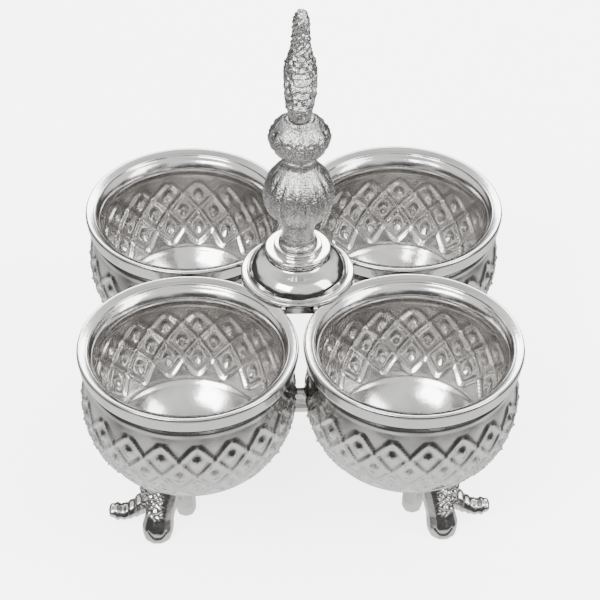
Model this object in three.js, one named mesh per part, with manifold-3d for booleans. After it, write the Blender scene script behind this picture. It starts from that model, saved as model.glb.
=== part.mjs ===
// Kumkum holder: four spun bowls on cast feet round a central carrying handle.
// Millimetres, +Z up. The origin is the centre of the footprint, on the table, and -Y is the front.
import * as THREE from 'three';
import { mergeVertices } from 'three/addons/utils/BufferGeometryUtils.js';
import Module from 'manifold-3d';

const wasm = await Module();
wasm.setup();

// Driving dimensions of the bowls
const RIM_RADIUS = 30;
const RIM_HEIGHT = 59;
const BOWL_OFFSET = 30.6;
const BOWL_DEPTH = 43.5;
const WALL = 1;
const BELLY_RADIUS = 28.9;
const BELLY_DROP = 17.5;
const NECK_RADIUS = 25.6;
const NECK_DROP = 4.4;
const FLOOR_RADIUS = 9;
const SKIRT_DEPTH = 4.6;
const LIP_WIDTH = 2.9;

// Driving dimensions of the joints between the bowls
const GAP = 0.3;
const LUG_RADIUS = 3.4;
const LUG_DROP = 20.3;
const PLATE_SPAN = 31.2;
const PLATE_THICKNESS = 2;

// Driving dimensions of the handle
const ROD_RADIUS = 1.5;
const DOME_RADIUS = 15.9;
const DOME_NECK_RADIUS = 8.2;
const DOME_HEIGHT = 7.9;
const DOME_WALL = 0.9;
const COLLAR_RADIUS = 9.1;
const COLLAR_STEP_RADIUS = 6.7;
const COLLAR_HEIGHT = 2.5;
const STEM_RADIUS = 4.5;
const STEM_HEIGHT = 6.9;
const BALL_RADIUS = 9.9;
const BALUSTER_HEIGHT = 29.2;
const FLUTES = 16;
const FLUTE_DEPTH = 0.5;
const KNOB_RADIUS = 8.4;
const KNOB_HEIGHT = 12.2;
const KNOB_LOBES = 8;
const LOBE_DEPTH = 0.7;
const BIRD_HEIGHT = 32.9;
const ROD_INTO_BIRD = 4;
const WASHER_RADIUS = 5;
const WASHER_THICKNESS = 1;
const NUT_ACROSS_FLATS = 5.5;
const NUT_THICKNESS = 2.4;
const ROD_BELOW_NUT = 1.6;

// Facets round a turned piece
const BOWL_SEGMENTS = 32;
const LOWER_STEPS = 5;
const UPPER_STEPS = 3;
const FLUTED_SEGMENTS = 48;
const LOBED_SEGMENTS = 32;

// Heights of the stack, each from the piece below it
const BORE_RADIUS = ROD_RADIUS + GAP;
const DOME_Z = RIM_HEIGHT + GAP;
const COLLAR_Z = DOME_Z + DOME_HEIGHT + GAP;
const BALUSTER_Z = COLLAR_Z + COLLAR_HEIGHT + GAP;
const KNOB_Z = BALUSTER_Z + BALUSTER_HEIGHT + GAP;
const BIRD_Z = KNOB_Z + KNOB_HEIGHT + GAP;
const PLATE_Z = RIM_HEIGHT - PLATE_THICKNESS;
const WASHER_Z = PLATE_Z - GAP - WASHER_THICKNESS;
const NUT_Z = WASHER_Z - GAP - NUT_THICKNESS;

// Finishes
const polished = { color: 0xc9c7c4, roughness: 0.12, metalness: 1 };
const embossed = { color: 0xbfbdba, roughness: 0.22, metalness: 1 };
const cast = { color: 0xb4b2af, roughness: 0.38, metalness: 1 };
const steel = { color: 0x9a9a9a, roughness: 0.35, metalness: 1 };

const holder = new THREE.Group();

function addPiece(name, geometry, finish) {
  const mesh = new THREE.Mesh(geometry, new THREE.MeshStandardMaterial(finish));
  mesh.name = name;
  holder.add(mesh);
}

// Six times the volume that the faces enclose, negative where they point inwards
function signedVolume(geometry) {
  const corners = [new THREE.Vector3(), new THREE.Vector3(), new THREE.Vector3()];
  const place = geometry.getAttribute('position');
  const index = geometry.getIndex();
  let total = 0;
  for (let i = 0; i < index.count; i += 3) {
    corners.forEach((corner, k) => corner.fromBufferAttribute(place, index.getX(i + k)));
    total += corners[0].dot(corners[1].clone().cross(corners[2]));
  }
  return total;
}

// Merges the corners that meet and turns the faces outwards
function closed(geometry) {
  geometry.deleteAttribute('normal');
  geometry.deleteAttribute('uv');
  const merged = mergeVertices(geometry, 1e-4);
  const kept = [];
  const index = merged.getIndex().array;
  for (let i = 0; i < index.length; i += 3) {
    const [a, b, c] = [index[i], index[i + 1], index[i + 2]];
    if (a !== b && b !== c && c !== a) kept.push(a, b, c);
  }
  merged.setIndex(kept);
  if (signedVolume(merged) < 0) merged.setIndex(kept.reverse());
  merged.computeVertexNormals();
  return merged;
}

function toSolid(geometry) {
  const tidy = closed(geometry);
  return new wasm.Manifold(new wasm.Mesh({
    numProp: 3,
    vertProperties: new Float32Array(tidy.getAttribute('position').array),
    triVerts: new Uint32Array(tidy.getIndex().array),
  }));
}

function toGeometry(solid) {
  const mesh = solid.getMesh();
  const geometry = new THREE.BufferGeometry();
  geometry.setAttribute('position', new THREE.BufferAttribute(new Float32Array(mesh.vertProperties), 3));
  geometry.setIndex(Array.from(mesh.triVerts));
  geometry.computeVertexNormals();
  return geometry;
}

// Turns an outline of [radius, height] points about the Z axis
function turned(outline, segments = BOWL_SEGMENTS) {
  const points = outline.map(([radius, height]) => new THREE.Vector2(radius, height));
  const geometry = new THREE.LatheGeometry(points, segments);
  geometry.rotateX(Math.PI / 2);
  return geometry;
}

// An outline with a bore, closed on itself
function bored(outline) {
  const [first, last] = [outline[0], outline[outline.length - 1]];
  return [[BORE_RADIUS, first[1]], ...outline, [BORE_RADIUS, last[1]], [BORE_RADIUS, first[1]]];
}

// Presses grooves into a turned piece, deepest where amount(height) is one
function grooved(geometry, count, depth, amount) {
  const place = geometry.getAttribute('position');
  for (let i = 0; i < place.count; i += 1) {
    const [x, y, z] = [place.getX(i), place.getY(i), place.getZ(i)];
    const radius = Math.hypot(x, y);
    if (radius > BORE_RADIUS + GAP) {
      const groove = 0.5 - 0.5 * Math.cos(count * Math.atan2(y, x));
      const share = (radius - depth * groove * amount(z)) / radius;
      place.setXY(i, x * share, y * share);
    }
  }
  return geometry;
}

// A tapered limb through [x, y, z, half width, half thickness] stations
function limb(stations, sideHint, sides = 8) {
  const centres = stations.map(([x, y, z]) => new THREE.Vector3(x, y, z));
  const places = [];
  const faces = [];
  const last = centres.length - 1;
  centres.forEach((centre, i) => {
    const along = centres[Math.min(i + 1, last)].clone().sub(centres[Math.max(i - 1, 0)]).normalize();
    const lift = along.clone().cross(sideHint).normalize();
    const side = lift.clone().cross(along);
    for (let k = 0; k < sides; k += 1) {
      const angle = (2 * Math.PI * k) / sides;
      const point = centre.clone();
      point.addScaledVector(side, stations[i][3] * Math.cos(angle));
      point.addScaledVector(lift, stations[i][4] * Math.sin(angle));
      places.push(point.x, point.y, point.z);
    }
  });
  for (let i = 0; i < last; i += 1) {
    for (let k = 0; k < sides; k += 1) {
      const a = i * sides + k;
      const b = i * sides + ((k + 1) % sides);
      faces.push(a, b, b + sides, a, b + sides, a + sides);
    }
  }
  const cap = places.length / 3;
  places.push(...centres[0].toArray(), ...centres[last].toArray());
  for (let k = 0; k < sides; k += 1) {
    const next = (k + 1) % sides;
    faces.push(cap, next, k);
    faces.push(cap + 1, last * sides + k, last * sides + next);
  }
  const geometry = new THREE.BufferGeometry();
  geometry.setAttribute('position', new THREE.Float32BufferAttribute(places, 3));
  geometry.setIndex(faces);
  return geometry;
}

function joined(solids) {
  return solids.reduce((whole, solid) => whole.add(solid));
}

// Belly of a bowl from the floor up to the neck, moved outwards by grow
function bellyOutline(grow, lowerSteps, upperSteps) {
  const floorAngle = Math.acos(FLOOR_RADIUS / BELLY_RADIUS);
  const lowerHeight = (BOWL_DEPTH - BELLY_DROP) / Math.sin(floorAngle);
  const belly = BELLY_RADIUS + grow;
  const bellyZ = RIM_HEIGHT - BELLY_DROP;
  const outline = [[0, RIM_HEIGHT - BOWL_DEPTH - grow]];
  for (let i = 0; i <= lowerSteps; i += 1) {
    const angle = floorAngle * (1 - i / lowerSteps);
    const radius = i === 0 ? FLOOR_RADIUS : belly * Math.cos(angle);
    const fall = i === 0 ? BOWL_DEPTH - BELLY_DROP + grow : (lowerHeight + grow) * Math.sin(angle);
    outline.push([radius, bellyZ - fall]);
  }
  for (let i = 1; i <= upperSteps; i += 1) {
    const angle = (Math.PI / 2) * (i / upperSteps);
    const radius = NECK_RADIUS + grow + (BELLY_RADIUS - NECK_RADIUS) * Math.cos(angle);
    outline.push([radius, bellyZ + (BELLY_DROP - NECK_DROP + grow) * Math.sin(angle)]);
  }
  return outline;
}

// Turned-down rim of a bowl, from under the lip over the top and into the throat
function rimOutline() {
  const top = RIM_HEIGHT;
  const inner = RIM_RADIUS - LIP_WIDTH;
  return [
    [NECK_RADIUS + 0.5, top - NECK_DROP + 0.9],
    [inner + 0.3, top - 2.2],
    [RIM_RADIUS - 1.2, top - 1.5],
    [RIM_RADIUS - 1.4, top - SKIRT_DEPTH],
    [RIM_RADIUS - 0.6, top - SKIRT_DEPTH],
    [RIM_RADIUS, top - 0.6],
    [RIM_RADIUS - 0.4, top],
    [inner, top - 1.1],
    [inner - 1.5, top - 2.3],
    [NECK_RADIUS - WALL + 0.2, top - NECK_DROP + 0.3],
  ];
}

function bowl(x, y) {
  const outside = bellyOutline(0, LOWER_STEPS, UPPER_STEPS);
  const inside = bellyOutline(-WALL, LOWER_STEPS, UPPER_STEPS - 1).reverse();
  const geometry = turned([...outside, ...rimOutline(), ...inside]);
  geometry.translate(x * BOWL_OFFSET, y * BOWL_OFFSET, 0);
  return closed(geometry);
}

// The space that a bowl takes up, with the solder gap round it
function bowlSpace(x, y) {
  const outline = bellyOutline(GAP, LOWER_STEPS, UPPER_STEPS);
  const top = outline[outline.length - 1][1];
  const geometry = turned([...outline, [0, top]]);
  geometry.translate(x * BOWL_OFFSET, y * BOWL_OFFSET, 0);
  return toSolid(geometry);
}

// Cast foot of the front left bowl: two legs, an outstretched trunk and a head that seats the bowl.
// Stations are measured from the bowl's axis, and heights are shares of the bowl's clearance.
function frontLeftFoot() {
  const clear = RIM_HEIGHT - BOWL_DEPTH;
  const across = new THREE.Vector3(1, 0, 0);
  const deep = new THREE.Vector3(0, 1, 0);
  const place = (stations) => stations.map(([x, y, share, width, thickness]) => (
    [x - BOWL_OFFSET, y - BOWL_OFFSET, share * clear, width, thickness]));
  const head = [
    [-7.5, -6, 1.5, 5.6, 4.4], [-8.5, -6.6, 1.05, 6, 5], [-9, -7.2, 0.75, 5.6, 5],
    [-9, -7.6, 0.5, 4, 3.8], [-9, -7.6, 0.42, 1.6, 1.6],
  ];
  const frontLeg = [
    [-6.5, -8, 1.1, 4, 3.4], [-7.8, -9.8, 0.75, 4.4, 4], [-8.8, -11.6, 0.42, 4.1, 4.2],
    [-9.4, -12.8, 0.2, 4.5, 4.7], [-9.5, -13, 0.05, 4.2, 4.4], [-9.5, -13, -0.1, 3, 3.2],
  ];
  const innerLeg = [
    [-3, -3.6, 1.1, 3.6, 3.2], [-2.4, -3.8, 0.6, 3.3, 3.1], [-1.8, -3.6, 0.25, 3.2, 3.2],
    [-1.6, -3.4, 0.08, 3, 3], [-1.6, -3.4, -0.1, 2.2, 2.2],
  ];
  const web = [
    [-1.5, -3.6, 0.85, 1.8, 2], [-3.6, -5, 0.78, 3.4, 3.6], [-6.5, -7.4, 0.78, 3.6, 3.8],
  ];
  const trunk = [
    [-8, -7, 0.66, 2.4, 2.6], [-12, -7, 0.52, 3.2, 3.4], [-15.5, -7.2, 0.34, 2.8, 2.6],
    [-18.6, -7.4, 0.25, 2.7, 2.2], [-21, -7.5, 0.27, 2.8, 2.3], [-22.4, -7.5, 0.33, 2.2, 1.8],
    [-22.9, -7.5, 0.36, 1, 0.8],
  ];
  const solids = [
    toSolid(limb(place(head), across, 10)),
    toSolid(limb(place(frontLeg), across, 10)),
    toSolid(limb(place(innerLeg), across)),
    toSolid(limb(place(web), deep)),
    toSolid(limb(place(trunk), deep)),
  ];
  const ground = new THREE.BoxGeometry(4 * RIM_RADIUS, 4 * RIM_RADIUS, RIM_HEIGHT);
  ground.translate(0, 0, -RIM_HEIGHT / 2);
  return joined(solids).subtract(bowlSpace(-1, -1)).subtract(toSolid(ground));
}

function mirrored(geometry, x, y) {
  const copy = geometry.clone();
  copy.scale(x, y, 1);
  return closed(copy);
}

// Round lug between two neighbouring bellies, its ends cut to both of them
function lug(x, y, bowls) {
  const geometry = new THREE.CylinderGeometry(LUG_RADIUS, LUG_RADIUS, RIM_RADIUS / 2, 16);
  if (x === 0) geometry.rotateZ(Math.PI / 2);
  geometry.translate(x * BOWL_OFFSET, y * BOWL_OFFSET, RIM_HEIGHT - LUG_DROP);
  return toGeometry(toSolid(geometry).subtract(bowls));
}

// Web plate that fills the space between the four rims
function centrePlate() {
  const box = new THREE.BoxGeometry(PLATE_SPAN, PLATE_SPAN, PLATE_THICKNESS);
  box.translate(0, 0, PLATE_Z + PLATE_THICKNESS / 2);
  const cuts = [[-1, -1], [1, -1], [-1, 1], [1, 1]].map(([x, y]) => {
    const rim = new THREE.CylinderGeometry(RIM_RADIUS + GAP, RIM_RADIUS + GAP, 4 * PLATE_THICKNESS, 96);
    rim.rotateX(Math.PI / 2);
    rim.translate(x * BOWL_OFFSET, y * BOWL_OFFSET, PLATE_Z);
    return toSolid(rim);
  });
  const hole = new THREE.CylinderGeometry(BORE_RADIUS, BORE_RADIUS, 4 * PLATE_THICKNESS, 24);
  hole.rotateX(Math.PI / 2);
  hole.translate(0, 0, PLATE_Z);
  return toGeometry(toSolid(box).subtract(joined([...cuts, toSolid(hole)])));
}

// Spun bell under the handle, hollow and open below
function domeBase() {
  const edge = DOME_RADIUS - 1.9;
  const neck = DOME_NECK_RADIUS;
  const top = DOME_HEIGHT;
  const outer = [
    [DOME_RADIUS, 0], [DOME_RADIUS, 0.8], [DOME_RADIUS - 0.5, 1.1], [edge + 0.4, 1],
    [edge, 1.5], [edge - 0.8, top - 4.7], [edge - 2.5, top - 3], [neck + 1.2, top - 2.1],
    [neck + 0.2, top - 1.3], [neck, top], [BORE_RADIUS, top],
  ];
  const inner = [
    [BORE_RADIUS, top - DOME_WALL], [neck - DOME_WALL, top - DOME_WALL],
    [neck - 0.8, top - 1.9], [neck + 0.6, top - 3], [edge - 3, top - 4],
    [edge - 1.6, top - 5.6], [edge - DOME_WALL, 0.5], [edge - DOME_WALL, 0], [DOME_RADIUS, 0],
  ];
  const geometry = turned([...outer, ...inner]);
  geometry.translate(0, 0, DOME_Z);
  return closed(geometry);
}

function collarRing() {
  const outline = [
    [COLLAR_RADIUS - 0.4, 0], [COLLAR_RADIUS, 0.3], [COLLAR_RADIUS, 0.8], [COLLAR_RADIUS - 0.3, 1.1],
    [COLLAR_STEP_RADIUS + 0.1, 1.1], [COLLAR_STEP_RADIUS, COLLAR_HEIGHT - 0.3],
    [COLLAR_STEP_RADIUS - 0.4, COLLAR_HEIGHT],
  ];
  const geometry = turned(bored(outline));
  geometry.translate(0, 0, COLLAR_Z);
  return closed(geometry);
}

// Cast baluster: a flared stem under a fluted ball and a short neck
function baluster() {
  const ballZ = STEM_HEIGHT + BALL_RADIUS;
  const outline = [
    [STEM_RADIUS + 1, 0], [STEM_RADIUS + 0.8, 0.7], [STEM_RADIUS + 0.1, 1.8], [STEM_RADIUS, 4],
    [STEM_RADIUS + 0.3, STEM_HEIGHT],
  ];
  for (let degrees = -52; degrees <= 56; degrees += 18) {
    const angle = THREE.MathUtils.degToRad(degrees);
    outline.push([BALL_RADIUS * Math.cos(angle), ballZ + BALL_RADIUS * Math.sin(angle)]);
  }
  outline.push([STEM_RADIUS - 0.1, BALUSTER_HEIGHT - 2.4], [STEM_RADIUS + 0.4, BALUSTER_HEIGHT]);
  const onBall = (z) => Math.max(0, 1 - ((z - ballZ) / BALL_RADIUS) ** 2);
  const geometry = grooved(turned(bored(outline), FLUTED_SEGMENTS), FLUTES, FLUTE_DEPTH, onBall);
  geometry.translate(0, 0, BALUSTER_Z);
  return closed(geometry);
}

function lobedKnob() {
  const outline = [
    [STEM_RADIUS + 0.2, 0], [KNOB_RADIUS - 1.9, 1.7], [KNOB_RADIUS - 0.4, 4.2], [KNOB_RADIUS, 6],
    [KNOB_RADIUS - 0.5, 8.1], [KNOB_RADIUS - 1.9, 10.1], [STEM_RADIUS + 0.4, KNOB_HEIGHT - 0.5],
    [STEM_RADIUS - 0.7, KNOB_HEIGHT],
  ];
  const onKnob = (z) => Math.max(0, Math.sin((Math.PI * z) / KNOB_HEIGHT));
  const geometry = grooved(turned(bored(outline), LOBED_SEGMENTS), KNOB_LOBES, LOBE_DEPTH, onKnob);
  geometry.translate(0, 0, KNOB_Z);
  return closed(geometry);
}

// Cast bird on top, seen edge-on from the front: heights are shares of its own height
function birdFinial() {
  const across = new THREE.Vector3(1, 0, 0);
  const place = (stations, flip = 1) => stations.map(([x, y, share, width, thickness]) => (
    [flip * x, y, BIRD_Z + share * BIRD_HEIGHT, width, thickness]));
  const body = [
    [0, 0, 0, 3.3, 3.5], [0, 0, 0.06, 3.4, 4.2], [0, 0.4, 0.16, 3.9, 5.2], [0, 0.5, 0.29, 3.8, 5.6],
    [0, 0.4, 0.4, 4, 5.3], [0, 0.2, 0.5, 4.1, 4.5], [0, 0.4, 0.6, 3.1, 3.5], [0, 0.8, 0.71, 2.6, 2.8],
    [0, 0.9, 0.82, 2.4, 2.6], [0, 0.6, 0.91, 2.3, 2.7], [0, 0.2, 0.975, 1.5, 1.8], [0, 0.1, 1, 0.6, 0.7],
  ];
  const beak = [[0, 1.5, 0.89, 1.2, 1.2], [0, 4.2, 0.87, 0.9, 0.9], [0, 6.2, 0.84, 0.4, 0.4]];
  const tail = [
    [0, -2.5, 0.48, 2.6, 1.6], [0, -5.4, 0.36, 3.1, 1.6], [0, -7.4, 0.23, 2.4, 1.3],
    [0, -8.6, 0.12, 0.7, 0.6],
  ];
  const wing = [
    [3.1, 1.5, 0.5, 0.9, 1.6], [3.4, 0, 0.42, 1.1, 2.8], [3.1, -2.6, 0.29, 1, 2.4],
    [2.4, -5, 0.17, 0.6, 0.9],
  ];
  const solids = [
    toSolid(limb(place(body), across, 10)),
    toSolid(limb(place(beak), across)),
    toSolid(limb(place(tail), across)),
    toSolid(limb(place(wing), across)),
    toSolid(limb(place(wing, -1), across)),
  ];
  const depth = ROD_INTO_BIRD + GAP;
  const bore = new THREE.CylinderGeometry(BORE_RADIUS, BORE_RADIUS, 2 * depth, 16);
  bore.rotateX(Math.PI / 2);
  bore.translate(0, 0, BIRD_Z);
  return toGeometry(joined(solids).subtract(toSolid(bore)));
}

function tieRod() {
  const bottom = NUT_Z - ROD_BELOW_NUT;
  const top = BIRD_Z + ROD_INTO_BIRD;
  const outline = [[0, bottom], [ROD_RADIUS - 0.3, bottom], [ROD_RADIUS, bottom + 0.3],
    [ROD_RADIUS, top - 0.3], [ROD_RADIUS - 0.3, top], [0, top]];
  return closed(turned(outline, 16));
}

function clampWasher() {
  const geometry = turned(bored([[WASHER_RADIUS, 0], [WASHER_RADIUS, WASHER_THICKNESS]]), 24);
  geometry.translate(0, 0, WASHER_Z);
  return closed(geometry);
}

function clampNut() {
  const corner = NUT_ACROSS_FLATS / Math.sqrt(3);
  const hexagon = new THREE.CylinderGeometry(corner, corner, NUT_THICKNESS, 6);
  const bore = new THREE.CylinderGeometry(BORE_RADIUS, BORE_RADIUS, 2 * NUT_THICKNESS, 16);
  const nut = toGeometry(toSolid(hexagon).subtract(toSolid(bore)));
  nut.rotateX(Math.PI / 2);
  nut.translate(0, 0, NUT_Z + NUT_THICKNESS / 2);
  return nut;
}

const corners = [
  ['front_left', -1, -1], ['front_right', 1, -1], ['back_left', -1, 1], ['back_right', 1, 1],
];
const sides = [['front', 0, -1], ['back', 0, 1], ['left', -1, 0], ['right', 1, 0]];

for (const [where, x, y] of corners) addPiece(`bowl_${where}`, bowl(x, y), embossed);

const foot = toGeometry(frontLeftFoot());
for (const [where, x, y] of corners) addPiece(`foot_${where}`, mirrored(foot, -x, -y), cast);

const bowlSpaces = joined(corners.map(([, x, y]) => bowlSpace(x, y)));
for (const [where, x, y] of sides) addPiece(`lug_${where}`, lug(x, y, bowlSpaces), cast);

addPiece('centre_plate', centrePlate(), polished);
addPiece('dome_base', domeBase(), polished);
addPiece('collar_ring', collarRing(), polished);
addPiece('baluster', baluster(), cast);
addPiece('lobed_knob', lobedKnob(), cast);
addPiece('bird_finial', birdFinial(), cast);
addPiece('tie_rod', tieRod(), steel);
addPiece('clamp_washer', clampWasher(), steel);
addPiece('clamp_nut', clampNut(), steel);

export default holder;
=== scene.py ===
# Looks of the kumkum holder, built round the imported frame, in metres
import math
import bpy
import numpy as np
from mathutils import Matrix, Vector


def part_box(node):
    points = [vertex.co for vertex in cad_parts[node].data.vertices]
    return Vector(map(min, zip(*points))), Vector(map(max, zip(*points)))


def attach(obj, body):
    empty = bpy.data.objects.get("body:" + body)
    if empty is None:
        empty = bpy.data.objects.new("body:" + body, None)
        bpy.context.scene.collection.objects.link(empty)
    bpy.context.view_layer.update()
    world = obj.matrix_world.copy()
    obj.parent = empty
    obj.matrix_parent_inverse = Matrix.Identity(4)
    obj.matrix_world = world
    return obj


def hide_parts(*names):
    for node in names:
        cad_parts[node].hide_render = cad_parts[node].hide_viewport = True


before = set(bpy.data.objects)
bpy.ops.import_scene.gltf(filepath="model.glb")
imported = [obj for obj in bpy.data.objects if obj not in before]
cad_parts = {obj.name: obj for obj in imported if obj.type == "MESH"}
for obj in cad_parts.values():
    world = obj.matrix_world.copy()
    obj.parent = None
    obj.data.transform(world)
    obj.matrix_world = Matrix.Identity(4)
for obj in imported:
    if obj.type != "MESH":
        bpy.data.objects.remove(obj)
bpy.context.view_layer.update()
MM = 0.001

# Sizes of the bowls in millimetres, the ones the frame's own solids have
RIM_RADIUS = 30
BOWL_DEPTH = 43.5
WALL = 1
BELLY_RADIUS = 28.9
BELLY_DROP = 17.5
NECK_RADIUS = 25.6
NECK_DROP = 4.4
FLOOR_RADIUS = 9
SKIRT_DEPTH = 4.6
LIP_WIDTH = 2.9

# Lattice pressed into the bellies
DIAMONDS_ROUND = 19
STEPS_PER_DIAMOND = 24
LATTICE_TOP_DROP = 10.5
LATTICE_HALF_STEP = 0.2
LATTICE_ROWS = 4.1
RIDGE_SPACING = 7.4
RIDGE_WIDTH = 0.62
RIDGE_HEIGHT = 0.8
BEADS_PER_RIDGE = 7
BOSS_RADIUS = 1.9
BOSS_HEIGHT = 0.5
NIB_RADIUS = 0.55
NIB_HEIGHT = 0.9
FIRST_BOSS_DEGREES = -85.4

# Camera of the photograph, in millimetres and degrees
TARGET = Vector((0.8, 0, 49.1)) * MM
DISTANCE = 639 * MM
ELEVATION = 39.6
AZIMUTH = -2.41
ROLL = 0.86
LENS = 135.3

# Cast and turned pieces, in millimetres
BOWL_OFFSET = 30.6
INNER_FLOOR_DROP = 42.4
FLOOR_EDGE_RADIUS = 12.6
ROD_BORE = 1.8
STEPS_ROUND = 192
BALL_MIDDLE = 16.8
BALL_HALF_HEIGHT = 9.6
KNOB_HEIGHT = 12.2
SOLDER_RADIUS = 0.8
PLATE_EDGE_HALF = 4.5

# Surroundings, as [height from straight down to straight up, brightness]
SKY_STOPS = [(0.0, 1.0), (0.12, 0.95), (0.23, 0.6), (0.34, 0.14), (0.5, 0.03), (0.64, 0.07),
             (0.72, 0.85), (0.9, 1.0), (1.0, 0.6)]
SKY_STRENGTH = 1.7
PATCH_SHIFT = 0.3
FLOOR_HALF_SIZE = 2.0
FLOOR_GLOW = 4.0

RIM_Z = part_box("bowl_front_left")[1].z / MM


# A shader socket that takes Python's arithmetic
class Value:
    def __init__(self, maker, socket):
        self.maker = maker
        self.socket = socket

    def math(self, operation, other):
        return self.maker.node("ShaderNodeMath", {"operation": operation}, [self, other])

    def __add__(self, other):
        return self.math("ADD", other)

    def __mul__(self, other):
        return self.math("MULTIPLY", other)

    __radd__ = __add__
    __rmul__ = __mul__


def set_stops(ramp, stops):
    while len(ramp.elements) < len(stops):
        ramp.elements.new(0.5)
    for element, (place, grey) in zip(ramp.elements, stops):
        element.position = place
        element.color = (grey, grey, grey, 1)


# Adds the nodes of one shader tree
class Maker:
    def __init__(self, tree):
        self.tree = tree

    def node(self, kind, settings, inputs, output=0):
        made = self.tree.nodes.new(kind)
        for key, value in settings.items():
            if key == "stops":
                set_stops(made.color_ramp, value)
            else:
                setattr(made, key, value)
        pairs = inputs.items() if isinstance(inputs, dict) else enumerate(inputs)
        for key, value in pairs:
            self.feed(made.inputs[key], value)
        return Value(self, made.outputs[output])

    def feed(self, socket, value):
        if isinstance(value, Value):
            self.tree.links.new(value.socket, socket)
        else:
            socket.default_value = value


# Builds one piece's material
class Finish(Maker):
    def __init__(self, name):
        self.material = bpy.data.materials.new(name)
        self.material.use_nodes = True
        super().__init__(self.material.node_tree)
        self.shader = self.tree.nodes["Principled BSDF"]

    def place(self):
        return self.node("ShaderNodeTexCoord", {}, [], "Object")

    def noise(self, size_mm, detail=2.0):
        inputs = {"Vector": self.place(), "Scale": 1 / (size_mm * MM), "Detail": detail}
        return self.node("ShaderNodeTexNoise", {}, inputs, 0)

    def cells(self, size_mm):
        inputs = {"Vector": self.place(), "Scale": 1 / (size_mm * MM)}
        return self.node("ShaderNodeTexVoronoi", {}, inputs, "Distance")

    def blend(self, factor, first, second):
        mix = self.tree.nodes.new("ShaderNodeMix")
        mix.data_type = "RGBA"
        self.feed(mix.inputs["Factor"], factor)
        colours = [s for s in mix.inputs if s.type == "RGBA"]
        self.feed(colours[0], first)
        self.feed(colours[1], second)
        return Value(self, [s for s in mix.outputs if s.type == "RGBA"][0])

    def bump(self, height, strength, distance_mm):
        inputs = {"Height": height, "Strength": strength, "Distance": distance_mm * MM}
        return self.node("ShaderNodeBump", {}, inputs, "Normal")

    def metal(self, colour, roughness, normal):
        self.feed(self.shader.inputs["Base Color"], colour)
        self.feed(self.shader.inputs["Metallic"], 1.0)
        self.feed(self.shader.inputs["Roughness"], roughness)
        self.feed(self.shader.inputs["Normal"], normal)
        return self.material


def polished_plate():
    finish = Finish("polished_plate")
    cloud = finish.noise(9)
    colour = finish.blend(cloud, (0.66, 0.65, 0.64, 1), (0.54, 0.53, 0.52, 1))
    return finish.metal(colour, cloud * 0.1 + 0.05, finish.bump(finish.noise(3), 0.12, 0.15))


def embossed_plate():
    finish = Finish("embossed_plate")
    cloud = finish.noise(7)
    colour = finish.blend(cloud, (0.62, 0.61, 0.6, 1), (0.48, 0.47, 0.46, 1))
    ripple = finish.noise(1.4, 3.0)
    return finish.metal(colour, cloud * 0.14 + 0.09, finish.bump(ripple, 0.25, 0.12))


def cast_plate():
    finish = Finish("cast_plate")
    pits = finish.cells(0.5)
    grain = finish.noise(0.45, 4.0)
    colour = finish.blend(grain, (0.24, 0.235, 0.23, 1), (0.66, 0.65, 0.64, 1))
    return finish.metal(colour, grain * 0.2 + 0.14, finish.bump(pits * 0.6 + grain, 0.8, 0.2))


def cast_smooth_plate():
    finish = Finish("cast_smooth_plate")
    grain = finish.noise(2.4, 3.0)
    colour = finish.blend(grain, (0.46, 0.45, 0.44, 1), (0.6, 0.59, 0.58, 1))
    return finish.metal(colour, grain * 0.16 + 0.12, finish.bump(grain, 0.35, 0.3))


def steel_fastener():
    finish = Finish("steel_fastener")
    grain = finish.noise(1.5)
    colour = finish.blend(grain, (0.5, 0.5, 0.5, 1), (0.62, 0.62, 0.62, 1))
    return finish.metal(colour, grain * 0.1 + 0.3, finish.bump(grain, 0.1, 0.1))


POLISHED = polished_plate()
EMBOSSED = embossed_plate()
CAST = cast_plate()
CAST_SMOOTH = cast_smooth_plate()
STEEL = steel_fastener()


def make_camera():
    elevation, azimuth, roll = (math.radians(v) for v in (ELEVATION, AZIMUTH, ROLL))
    back = Vector((math.sin(azimuth) * math.cos(elevation),
                   -math.cos(azimuth) * math.cos(elevation),
                   math.sin(elevation)))
    right = Vector((0, 0, 1)).cross(back).normalized()
    up = back.cross(right)
    turned_right = right * math.cos(roll) + up * math.sin(roll)
    turned_up = up * math.cos(roll) - right * math.sin(roll)
    data = bpy.data.cameras.new("camera")
    data.lens = LENS
    data.sensor_width = 36
    data.clip_start = 0.01
    camera = bpy.data.objects.new("camera", data)
    turn = Matrix((turned_right, turned_up, back)).transposed().to_4x4()
    camera.matrix_world = Matrix.Translation(TARGET + back * DISTANCE) @ turn
    bpy.context.scene.collection.objects.link(camera)
    bpy.context.scene.camera = camera


def finished(piece, nodes, material):
    piece.data.materials.clear()
    piece.data.materials.append(material)
    for face in piece.data.polygons:
        face.use_smooth = True
    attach(piece, "root")
    if nodes:
        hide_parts(*nodes)
    return piece


def link(name, mesh):
    piece = bpy.data.objects.new(name, mesh)
    bpy.context.scene.collection.objects.link(piece)
    return piece


def angles_round(count):
    return np.arange(count) * 2 * math.pi / count


# A surface turned from rings of points in millimetres, with a pole at each open end
def ring_mesh(name, rings, poles=None):
    count, around = rings.shape[:2]
    points = rings.reshape(-1, 3)
    k = np.arange(around)
    after = (k + 1) % around
    spans = range(count - 1) if poles is not None else range(count)
    faces = []
    for i in spans:
        j = (i + 1) % count
        quad = np.stack([i * around + k, i * around + after, j * around + after, j * around + k], 1)
        faces += quad.tolist()
    if poles is not None:
        start, end = len(points), len(points) + 1
        points = np.vstack([points, poles])
        faces += np.stack([np.full(around, start), after, k], 1).tolist()
        top = (count - 1) * around
        faces += np.stack([np.full(around, end), top + k, top + after], 1).tolist()
    mesh = bpy.data.meshes.new(name)
    mesh.from_pydata((points * MM).tolist(), [], faces)
    mesh.update()
    return mesh


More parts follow.
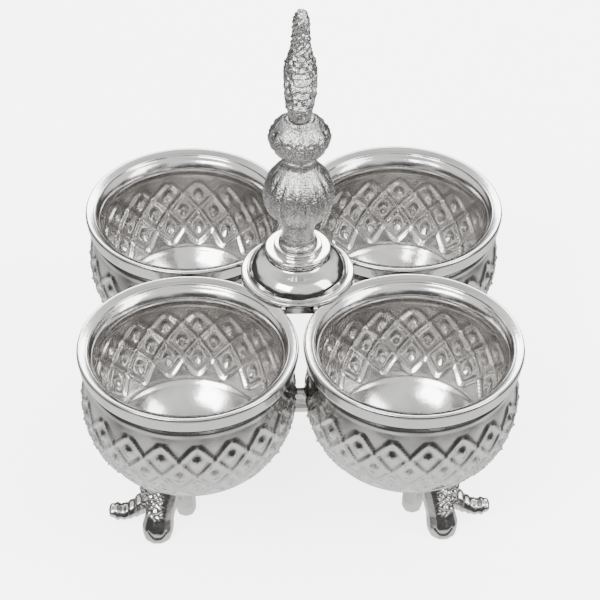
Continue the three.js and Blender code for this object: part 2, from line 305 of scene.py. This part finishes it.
# Rounds a polyline of [radius, height] points into a smooth curve
def smooth_path(points, per_span):
    points = np.array(points, float)
    padded = np.vstack([2 * points[0] - points[1], points, 2 * points[-1] - points[-2]])
    out = []
    for i in range(len(points) - 1):
        a, b, c, d = padded[i:i + 4]
        for t in np.arange(per_span) / per_span:
            out.append(0.5 * (2 * b + (c - a) * t + (2 * a - 5 * b + 4 * c - d) * t ** 2
                              + (3 * b - a - 3 * c + d) * t ** 3))
    return np.array(out + [points[-1]])


def normals_of(path):
    tangent = np.gradient(path, axis=0)
    tangent /= np.linalg.norm(tangent, axis=1)[:, None]
    return np.stack([tangent[:, 1], -tangent[:, 0]], 1)


# Bowl wall from the floor edge up to the neck, as [radius, drop] points
def wall_path(grow, lower_steps, upper_steps):
    floor_angle = math.acos(FLOOR_RADIUS / BELLY_RADIUS)
    height = (BOWL_DEPTH - BELLY_DROP) / math.sin(floor_angle) + grow
    low = np.linspace(floor_angle, 0, lower_steps)
    high = np.linspace(0, math.pi / 2, upper_steps + 1)[1:]
    lower = np.stack([(BELLY_RADIUS + grow) * np.cos(low), BELLY_DROP + height * np.sin(low)], 1)
    rise = BELLY_DROP - NECK_DROP + grow
    upper = np.stack([NECK_RADIUS + grow + (BELLY_RADIUS - NECK_RADIUS) * np.cos(high),
                      BELLY_DROP - rise * np.sin(high)], 1)
    return np.vstack([lower, upper])


def lattice_row(path):
    step = np.linalg.norm(np.diff(path, axis=0), axis=1)
    radius = (path[1:, 0] + path[:-1, 0]) / 2
    along = np.concatenate([[0], np.cumsum(step / (LATTICE_HALF_STEP * radius))])
    top = np.interp(-LATTICE_TOP_DROP, -path[:, 1], along)
    return top - along


def soft_step(value, low, high):
    share = np.clip((value - low) / (high - low), 0, 1)
    return share * share * (3 - 2 * share)


# Height of the pressed pattern at each angle and lattice row
def lattice_height(angles, rows):
    turn = DIAMONDS_ROUND * (angles - math.radians(FIRST_BOSS_DEGREES)) / (2 * math.pi)
    a = turn[None, :] + (rows[:, None] - 1) / 2
    b = turn[None, :] - (rows[:, None] - 1) / 2
    near_a = np.abs(a - np.round(a))
    near_b = np.abs(b - np.round(b))
    ridge_a = np.exp(-((0.5 - near_a) * RIDGE_SPACING / RIDGE_WIDTH) ** 2)
    ridge_b = np.exp(-((0.5 - near_b) * RIDGE_SPACING / RIDGE_WIDTH) ** 2)
    bead_a = 0.8 + 0.2 * np.cos(2 * math.pi * BEADS_PER_RIDGE * b)
    bead_b = 0.8 + 0.2 * np.cos(2 * math.pi * BEADS_PER_RIDGE * a)
    ridge = np.maximum(ridge_a * bead_a, ridge_b * bead_b) * RIDGE_HEIGHT
    last_row = 1 - soft_step(rows, LATTICE_ROWS - 0.2, LATTICE_ROWS)
    ridge *= (soft_step(rows, 0.02, 0.25) * last_row)[:, None]
    centre = np.hypot(near_a, near_b) * RIDGE_SPACING
    boss = BOSS_HEIGHT * (1 - soft_step(centre, BOSS_RADIUS * 0.6, BOSS_RADIUS))
    boss -= 0.5 * BOSS_HEIGHT * (1 - soft_step(centre, BOSS_RADIUS * 0.3, BOSS_RADIUS * 0.6))
    boss += NIB_HEIGHT * np.exp(-(centre / NIB_RADIUS) ** 2)
    inside = soft_step(rows, 0.5, 0.6) * (1 - soft_step(rows, 3.5, 3.6))
    return ridge + boss * inside[:, None]


def bowl_mesh():
    inner = RIM_RADIUS - LIP_WIDTH
    outside = wall_path(0, 56, 26)
    rim = smooth_path([
        [NECK_RADIUS + 0.5, NECK_DROP - 0.9], [inner + 0.3, 2.2], [RIM_RADIUS - 1.2, 1.5],
        [RIM_RADIUS - 1.3, SKIRT_DEPTH - 0.3], [RIM_RADIUS - 1, SKIRT_DEPTH],
        [RIM_RADIUS - 0.6, SKIRT_DEPTH - 0.2], [RIM_RADIUS - 0.1, 1.6], [RIM_RADIUS, 0.7],
        [RIM_RADIUS - 0.4, 0], [inner + 1, 0.35], [inner + 0.35, 0.65], [inner + 0.1, 0.75],
        [inner - 0.2, 1.25], [inner - 1.3, 2.2], [NECK_RADIUS - WALL + 0.3, NECK_DROP - 0.5],
    ], 3)
    inside = wall_path(-WALL, 44, 20)[::-1]
    inside = inside[inside[:, 0] > FLOOR_EDGE_RADIUS]
    floor = smooth_path([[12.2, 41.2], [11.6, 41.6], [9, 42], [5, 42.3], [1, INNER_FLOOR_DROP]], 2)
    path = np.vstack([outside, rim, inside, floor])
    sign = np.concatenate([np.ones(len(outside)), np.zeros(len(rim)), -np.ones(len(inside)),
                           np.zeros(len(floor))])
    rows = np.full(len(path), -1.0)
    rows[:len(outside)] = lattice_row(outside)
    first = len(outside) + len(rim)
    rows[first:first + len(inside)] = lattice_row(inside[::-1])[::-1]
    shoulder = 0.25 * np.exp(-((rows + 0.55) / 0.09) ** 2)
    foot_ring = 0.3 * np.exp(-((rows - LATTICE_ROWS - 0.25) / 0.1) ** 2)
    angles = angles_round(DIAMONDS_ROUND * STEPS_PER_DIAMOND)
    height = lattice_height(angles, rows) + (shoulder + foot_ring)[:, None]
    height = height * sign[:, None]
    points = np.stack([path[:, 0], RIM_Z - path[:, 1]], 1)
    normal = normals_of(points)
    radius = points[:, :1] + normal[:, :1] * height
    level = points[:, 1:] + normal[:, 1:] * height
    rings = np.stack([radius * np.cos(angles), radius * np.sin(angles), level], -1)
    low = [0, 0, RIM_Z - BOWL_DEPTH]
    high = [0, 0, RIM_Z - INNER_FLOOR_DROP]
    return ring_mesh("bowl", rings, np.array([low, high]))


def make_bowls():
    mesh = bowl_mesh()
    for where in ("front_left", "front_right", "back_left", "back_right"):
        low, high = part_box("bowl_" + where)
        copy = mesh.copy()
        copy.name = "bowl_" + where
        centre = (low + high) / 2
        copy.transform(Matrix.Translation((centre.x, centre.y, 0)))
        finished(link("spun_bowl_" + where, copy), ["bowl_" + where], EMBOSSED)


# A finely turned copy of a turned CAD piece, with its own bore kept
def turned_piece(node, outline, material, relief=None):
    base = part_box(node)[0].z / MM
    outer = smooth_path([[r, z + base] for r, z in outline], 5)
    path = np.vstack([outer, [[ROD_BORE, outer[-1, 1]], [ROD_BORE, outer[0, 1]]]])
    angles = angles_round(STEPS_ROUND)
    radius = np.repeat(path[:, :1], STEPS_ROUND, 1)
    if relief:
        count = len(outer)
        radius[:count] += relief(angles[None, :], outer[:, 1:] - base)
    rings = np.stack([radius * np.cos(angles), radius * np.sin(angles),
                      np.repeat(path[:, 1:], STEPS_ROUND, 1)], -1)
    mesh = ring_mesh(node, rings)
    return finished(link("turned_" + node, mesh), [node], material)


# Flutes round the ball, with the casting's lumps
def ball_relief(angles, level):
    on_ball = np.clip(1 - ((level - BALL_MIDDLE) / BALL_HALF_HEIGHT) ** 2, 0, 1)
    groove = np.abs(np.cos(8 * angles)) ** 0.7 - 1
    lumps = 0.12 * np.sin(21 * angles + 2 * level) * np.sin(3.1 * level + 5 * angles)
    return on_ball * (0.65 * groove + lumps)


# Lobes and leaves round the knob
def knob_relief(angles, level):
    on_knob = np.clip(np.sin(np.pi * level / KNOB_HEIGHT), 0, 1)
    lobe = np.abs(np.cos(4 * angles)) - 1
    leaf = 0.2 * np.cos(16 * angles) * np.sin(1.3 * level)
    rib = 0.12 * np.sin(5 * level + 4 * np.abs(np.sin(4 * angles)))
    return on_knob * (0.5 * lobe + leaf + rib)


def make_handle():
    turned_piece("collar_ring", [
        [8.7, 0], [9.05, 0.2], [9.1, 0.6], [8.9, 1], [8.4, 1.1], [7, 1.1], [6.75, 1.3], [6.7, 2],
        [6.5, 2.4], [6.2, 2.5]], POLISHED)
    turned_piece("baluster", [
        [5.5, 0], [5.4, 0.6], [4.9, 1.3], [4.6, 2.4], [4.5, 4], [4.7, 6], [5.8, 8.4], [8.2, 11.4],
        [9.6, 14.4], [9.9, 17], [9.5, 19.8], [8.2, 22.6], [6.3, 25], [4.7, 26.4], [4.4, 27.3],
        [4.7, 28.4], [4.9, 29.2]], CAST, ball_relief)
    turned_piece("lobed_knob", [
        [4.7, 0], [6.2, 1.4], [7.6, 3.2], [8.3, 5], [8.4, 6.6], [8, 8.2], [6.6, 10], [5, 11.3],
        [4.1, 11.8], [3.8, KNOB_HEIGHT]], CAST, knob_relief)


# The spun bell, hollow underneath
def make_dome():
    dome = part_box("dome_base")[0].z / MM
    outer = smooth_path([
        [15.4, 0], [15.8, 0.1], [15.9, 0.5], [15.7, 0.95], [15, 1.15], [14.4, 1.05], [14.1, 1.2],
        [13.9, 1.7], [13.2, 3.2], [11.7, 4.8], [9.8, 5.7], [8.7, 6.3], [8.3, 7], [8.2, 7.9]], 5)
    inner = smooth_path([
        [7.3, 7], [7.4, 6.2], [8.8, 4.9], [10.9, 4], [12.3, 2.4], [13, 0.6], [13, 0]], 3)
    path = np.vstack([outer, [[ROD_BORE, 7.9], [ROD_BORE, 7]], inner])
    angles = angles_round(STEPS_ROUND)
    rings = np.stack([path[:, :1] * np.cos(angles), path[:, :1] * np.sin(angles),
                      np.repeat(path[:, 1:] + dome, STEPS_ROUND, 1)], -1)
    finished(link("spun_dome", ring_mesh("dome", rings)), ["dome_base"], POLISHED)


# A remeshed and smoothed copy of a cast CAD piece, worked by a relief in millimetres
def cast_piece(node, voxel_mm, relief, material, smoothing=6):
    copy = link("cast_" + node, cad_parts[node].data.copy())
    remesh = copy.modifiers.new("remesh", "REMESH")
    remesh.mode = "VOXEL"
    remesh.voxel_size = voxel_mm * MM
    relax = copy.modifiers.new("relax", "SMOOTH")
    relax.iterations = smoothing
    relax.factor = 0.5
    graph = bpy.context.evaluated_depsgraph_get()
    mesh = bpy.data.meshes.new_from_object(copy.evaluated_get(graph))
    copy.modifiers.clear()
    copy.data = mesh
    low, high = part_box(node)
    count = len(mesh.vertices)
    place = np.zeros(count * 3)
    mesh.vertices.foreach_get("co", place)
    place = place.reshape(-1, 3)
    normal = np.array([v.normal[:] for v in mesh.vertices])
    moved = place + normal * (relief(place / MM) * MM)[:, None]
    moved = np.clip(moved, np.array(low), np.array(high))
    mesh.vertices.foreach_set("co", moved.reshape(-1))
    mesh.update()
    return finished(copy, [node], material)


# Chasing between the trunk and the legs, the toe's crescent and the rings on the trunk
def foot_relief(place):
    x = np.abs(place[:, 0]) - BOWL_OFFSET
    y = np.abs(place[:, 1]) - BOWL_OFFSET
    z = place[:, 2]
    level = soft_step(z, 7.5, 9) * (1 - soft_step(z, 14, 16))
    chased = level * soft_step(x, 7, 9) * (1 - soft_step(x, 13, 15))
    curls = np.sin(2.6 * x + 1.3 * np.sin(1.9 * z)) * np.sin(2.8 * z + 1.2 * np.sin(2.2 * y))
    toe = np.exp(-((z - 2.6 - 0.25 * (x - 9.5) ** 2) / 0.35) ** 2) * soft_step(y, 12, 14)
    trunk_rings = soft_step(x, 13, 15) * np.sin(3.4 * x) * 0.15
    return chased * 0.45 * curls - 0.45 * toe * (np.abs(x - 9.5) < 2.6) + trunk_rings


# Rows of feathers on the body, with ripples up the neck
def bird_relief(place):
    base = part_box("bird_finial")[0].z / MM
    x, y, z = place[:, 0], place[:, 1], place[:, 2] - base
    body = soft_step(z, 1.5, 4) * (1 - soft_step(z, 19, 23))
    scale_row = z / 1.5
    shift = np.where(np.floor(scale_row) % 2 > 0, 0.5, 0)
    around = np.arctan2(x, y) * 3.2 + shift * 2 * math.pi / 3.2
    feather = np.abs(np.sin(around * 1.6)) * (1 - (scale_row - np.floor(scale_row)))
    neck = soft_step(z, 20, 23) * 0.16 * np.sin(4.2 * z + 6 * np.arctan2(x, y))
    return 0.5 * body * feather + neck + 0.12 * np.sin(3.1 * x) * np.sin(2.7 * z)


def make_castings():
    for where in ("front_left", "front_right", "back_left", "back_right"):
        cast_piece("foot_" + where, 0.32, foot_relief, CAST_SMOOTH)
    cast_piece("bird_finial", 0.25, bird_relief, CAST, 3)


# Solder beads scattered by a node tree where the plate's corners meet the rims
def solder_tree():
    tree = bpy.data.node_groups.new("solder_beads", "GeometryNodeTree")
    face = tree.interface
    face.new_socket("Geometry", in_out="INPUT", socket_type="NodeSocketGeometry")
    radius = face.new_socket("Bead Radius", in_out="INPUT", socket_type="NodeSocketFloat")
    metal = face.new_socket("Metal", in_out="INPUT", socket_type="NodeSocketMaterial")
    face.new_socket("Geometry", in_out="OUTPUT", socket_type="NodeSocketGeometry")
    nodes, links = tree.nodes, tree.links
    given = nodes.new("NodeGroupInput")
    result = nodes.new("NodeGroupOutput")
    ball = nodes.new("GeometryNodeMeshIcoSphere")
    ball.inputs["Subdivisions"].default_value = 3
    place = nodes.new("GeometryNodeInstanceOnPoints")
    spread = nodes.new("FunctionNodeRandomValue")
    spread.data_type = "FLOAT"
    spread.inputs[2].default_value = 0.7
    spread.inputs[3].default_value = 1.2
    spread.inputs["Seed"].default_value = 4
    realize = nodes.new("GeometryNodeRealizeInstances")
    paint = nodes.new("GeometryNodeSetMaterial")
    links.new(given.outputs["Geometry"], place.inputs["Points"])
    links.new(given.outputs["Bead Radius"], ball.inputs["Radius"])
    links.new(ball.outputs["Mesh"], place.inputs["Instance"])
    links.new(spread.outputs[1], place.inputs["Scale"])
    links.new(place.outputs["Instances"], realize.inputs["Geometry"])
    links.new(realize.outputs["Geometry"], paint.inputs["Geometry"])
    links.new(given.outputs["Metal"], paint.inputs["Material"])
    links.new(paint.outputs["Geometry"], result.inputs["Geometry"])
    return tree, radius.identifier, metal.identifier


def make_solder():
    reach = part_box("centre_plate")[1].x / MM - 0.2
    level = RIM_Z - 0.3
    spots = []
    for side in (-PLATE_EDGE_HALF, PLATE_EDGE_HALF):
        for end in (-reach, reach):
            spots += [(side, end, level), (end, side, level)]
    mesh = bpy.data.meshes.new("solder")
    mesh.from_pydata([(x * MM, y * MM, z * MM) for x, y, z in spots], [], [])
    beads = link("solder_beads", mesh)
    tree, radius, metal = solder_tree()
    modifier = beads.modifiers.new("beads", "NODES")
    modifier.node_group = tree
    modifier[radius] = SOLDER_RADIUS * MM
    modifier[metal] = CAST_SMOOTH
    graph = bpy.context.evaluated_depsgraph_get()
    baked = bpy.data.meshes.new_from_object(beads.evaluated_get(graph))
    beads.modifiers.clear()
    beads.data = baked
    finished(beads, [], CAST_SMOOTH)


def finish_frame_nodes():
    metals = {"centre_plate": POLISHED, "tie_rod": STEEL, "clamp_washer": STEEL, "clamp_nut": STEEL}
    for side in ("front", "back", "left", "right"):
        metals["lug_" + side] = CAST_SMOOTH
    for name, material in metals.items():
        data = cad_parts[name].data
        data.materials.clear()
        data.materials.append(material)


# A pale floor that glows, left out of the metal's reflections
def make_floor():
    size = FLOOR_HALF_SIZE
    mesh = bpy.data.meshes.new("floor")
    mesh.from_pydata([(-size, -size, 0), (size, -size, 0), (size, size, 0), (-size, size, 0)],
                     [], [(0, 1, 2, 3)])
    floor = link("floor", mesh)
    pale = bpy.data.materials.new("pale_floor")
    pale.use_nodes = True
    shader = pale.node_tree.nodes["Principled BSDF"]
    shader.inputs["Base Color"].default_value = (0.9, 0.9, 0.9, 1)
    shader.inputs["Roughness"].default_value = 0.9
    shader.inputs["Specular IOR Level"].default_value = 0.0
    shader.inputs["Emission Color"].default_value = (1, 1, 1, 1)
    shader.inputs["Emission Strength"].default_value = FLOOR_GLOW
    mesh.materials.append(pale)
    floor.visible_glossy = False


def area_light(name, place, aim, size, power):
    data = bpy.data.lights.new(name, "AREA")
    data.shape = "RECTANGLE"
    data.size, data.size_y = size
    data.energy = power
    light = bpy.data.objects.new(name, data)
    light.location = place
    light.rotation_euler = (Vector(aim) - Vector(place)).to_track_quat("-Z", "Y").to_euler()
    bpy.context.scene.collection.objects.link(light)


# Studio surroundings: pale above and below, with a dark band round the horizon for the metal to mirror
def make_studio():
    world = bpy.data.worlds.new("studio")
    bpy.context.scene.world = world
    world.use_nodes = True
    maker = Maker(world.node_tree)
    around = maker.node("ShaderNodeTexCoord", {}, [], "Generated")
    height = maker.node("ShaderNodeSeparateXYZ", {}, [around], "Z")
    patches = maker.node("ShaderNodeTexNoise", {}, {"Vector": around, "Scale": 2.2, "Detail": 1.0})
    level = patches * PATCH_SHIFT + (height * 0.5 + (0.5 - PATCH_SHIFT / 2))
    colour = maker.node("ShaderNodeValToRGB", {"stops": SKY_STOPS}, {"Fac": level}, "Color")
    background = world.node_tree.nodes["Background"]
    maker.feed(background.inputs["Strength"], SKY_STRENGTH)
    maker.feed(background.inputs["Color"], colour)
    area_light("key", (-0.35, -0.45, 0.6), (0, 0, 0.04), (0.4, 0.3), 7)
    area_light("fill", (0.5, -0.2, 0.45), (0, 0, 0.05), (0.25, 0.5), 4)
    area_light("back", (0.05, 0.6, 0.5), (0, 0, 0.06), (0.6, 0.2), 5)


make_camera()
make_bowls()
make_handle()
make_dome()
make_castings()
make_solder()
finish_frame_nodes()
make_floor()
make_studio()
